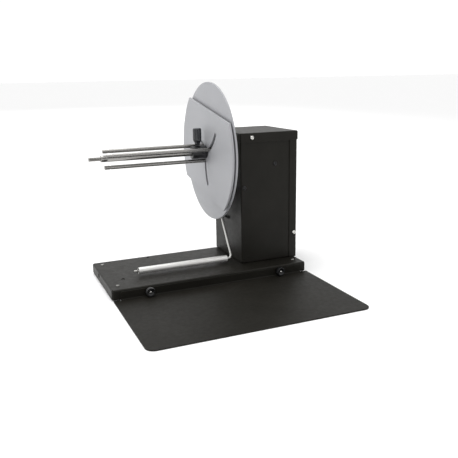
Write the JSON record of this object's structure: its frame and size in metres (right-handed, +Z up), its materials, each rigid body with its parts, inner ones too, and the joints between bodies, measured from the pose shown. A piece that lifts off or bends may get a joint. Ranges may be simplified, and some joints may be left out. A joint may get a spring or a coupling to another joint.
{
  "type": "label rewinder with adjustable core holder",
  "caption": "Powered bench rewinder: motor tower on a folded base, expanding core fingers on a flanged chuck, dancer arm with roller and a clip-on alignment tray.",
  "frame": {"origin": "on the table, under the centre of the bounding box", "axes": "+X along the chuck shaft towards the motor tower, +Y away from the alignment tray, +Z up"},
  "size_m": [0.3336, 0.3744, 0.2983],
  "materials": {
    "powder_coat": "fine texture black powder coat",
    "satin_plate": "satin",
    "aluminium": "satin anodised",
    "polished_steel": "ground and polished",
    "plain_steel": "plain",
    "zinc_screw": "zinc plated",
    "black_metal": "black oxide",
    "black_plastic": "moulded",
    "rubber": "matte",
    "circuit_board": "solder mask",
    "brass": "turned"
  },
  "bodies": {
    "frame": {"base_plate": "powder_coat", "foot_front_left": "rubber", "foot_front_right": "rubber", "foot_rear_left": "rubber", "foot_rear_right": "rubber", "foot_screw_front_left": "zinc_screw", "foot_screw_front_right": "zinc_screw", "foot_screw_rear_left": "zinc_screw", "foot_screw_rear_right": "zinc_screw", "alignment_tray": "powder_coat", "tower_shell": "powder_coat", "end_panel": "powder_coat", "tower_lid": "powder_coat", "lid_screw_front": "zinc_screw", "lid_screw_rear": "zinc_screw", "panel_screw_front": "zinc_screw", "panel_screw_rear": "zinc_screw", "bracket_screw_upper": "black_metal", "bracket_screw_lower": "black_metal", "tower_bolt_front": "zinc_screw", "tower_bolt_rear": "zinc_screw", "bearing_block": "aluminium", "bearing_front": "plain_steel", "bearing_rear": "plain_steel", "drive_belt": "rubber", "motor_bracket": "plain_steel", "gearbox": "aluminium", "drive_motor": "plain_steel", "control_board": "circuit_board", "arm_bush": "brass", "arm_sensor": "black_plastic", "arm_spring": "plain_steel", "sensor_screw_lower": "black_metal", "sensor_screw_upper": "black_metal", "switch_body": "black_plastic", "torque_control": "aluminium", "power_inlet": "black_plastic"},
    "chuck": {"main_shaft": "polished_steel", "rear_plate": "satin_plate", "driven_pulley": "black_plastic"},
    "cam_plate": {"front_plate": "satin_plate", "hub_collar": "black_metal"},
    "lock_knob": {"lock_knob": "black_metal"},
    "finger_1": {"finger_1": "polished_steel", "finger_slider_1": "black_metal"},
    "finger_2": {"finger_2": "polished_steel", "finger_slider_2": "black_metal"},
    "finger_3": {"finger_3": "polished_steel", "finger_slider_3": "black_metal"},
    "motor_drive": {"motor_pulley": "black_plastic"},
    "arm": {"arm_hub": "black_metal", "arm_rod": "polished_steel", "roller_clip": "polished_steel"},
    "roller": {"tension_roller": "aluminium", "roller_bush_outer": "black_plastic", "roller_bush_inner": "black_plastic"},
    "thumbscrew_left": {"tray_thumbscrew_left": "black_metal"},
    "thumbscrew_right": {"tray_thumbscrew_right": "black_metal"},
    "rocker": {"switch_rocker": "black_plastic"},
    "torque_knob": {"torque_knob": "black_plastic"}
  },
  "joints": [
    {"name": "chuck_spin", "type": "hinge", "parent": "frame", "child": "chuck", "pos_m": [0.0224, 0.07985, 0.191], "axis": [1, 0, 0], "continuous": true},
    {"name": "core_adjust", "type": "hinge", "parent": "chuck", "child": "cam_plate", "pos_m": [0.0184, 0.07985, 0.191], "axis": [1, 0, 0], "range_deg": [0, 16.56]},
    {"name": "knob_turn", "type": "hinge", "parent": "cam_plate", "child": "lock_knob", "pos_m": [0.0036, 0.07985, 0.205], "axis": [0, 0, 1], "range_deg": [0, 360]},
    {"name": "finger_slide_1", "type": "slide", "parent": "chuck", "child": "finger_1", "axis": [0, -0.9444, 0.3289], "range_m": [0, 0.036]},
    {"name": "finger_slide_2", "type": "slide", "parent": "chuck", "child": "finger_2", "axis": [0, 0.757, 0.6534], "range_m": [0, 0.036]},
    {"name": "finger_slide_3", "type": "slide", "parent": "chuck", "child": "finger_3", "axis": [0, 0.1874, -0.9823], "range_m": [0, 0.036]},
    {"name": "motor_spin", "type": "hinge", "parent": "frame", "child": "motor_drive", "pos_m": [0.0844, 0.06085, 0.105], "axis": [1, 0, 0], "continuous": true},
    {"name": "arm_swing", "type": "hinge", "parent": "frame", "child": "arm", "pos_m": [0.0444, 0.10285, 0.1202], "axis": [-1, 0, 0], "range_deg": [0, 45]},
    {"name": "roller_spin", "type": "hinge", "parent": "arm", "child": "roller", "pos_m": [-0.0376, 0.04085, 0.0237], "axis": [1, 0, 0], "continuous": true},
    {"name": "thumbscrew_left_turn", "type": "hinge", "parent": "frame", "child": "thumbscrew_left", "pos_m": [-0.1096, -0.01415, 0.0087], "axis": [0, -1, 0], "range_deg": [0, 1080]},
    {"name": "thumbscrew_right_turn", "type": "hinge", "parent": "frame", "child": "thumbscrew_right", "pos_m": [0.1004, -0.01415, 0.0087], "axis": [0, -1, 0], "range_deg": [0, 1080]},
    {"name": "switch_rock", "type": "hinge", "parent": "frame", "child": "rocker", "pos_m": [0.1472, 0.05685, 0.189], "axis": [0, 1, 0], "range_deg": [-7, 7]},
    {"name": "torque_turn", "type": "hinge", "parent": "frame", "child": "torque_knob", "pos_m": [0.1574, 0.10285, 0.185], "axis": [1, 0, 0], "range_deg": [0, 270]}
  ],
  "couplings": [
    {"joint": "finger_slide_1", "follows": "core_adjust", "m_per_rad": 0.12456},
    {"joint": "finger_slide_2", "follows": "core_adjust", "m_per_rad": 0.12456},
    {"joint": "finger_slide_3", "follows": "core_adjust", "m_per_rad": 0.12456},
    {"joint": "motor_spin", "follows": "chuck_spin", "ratio": 2}
  ]
}
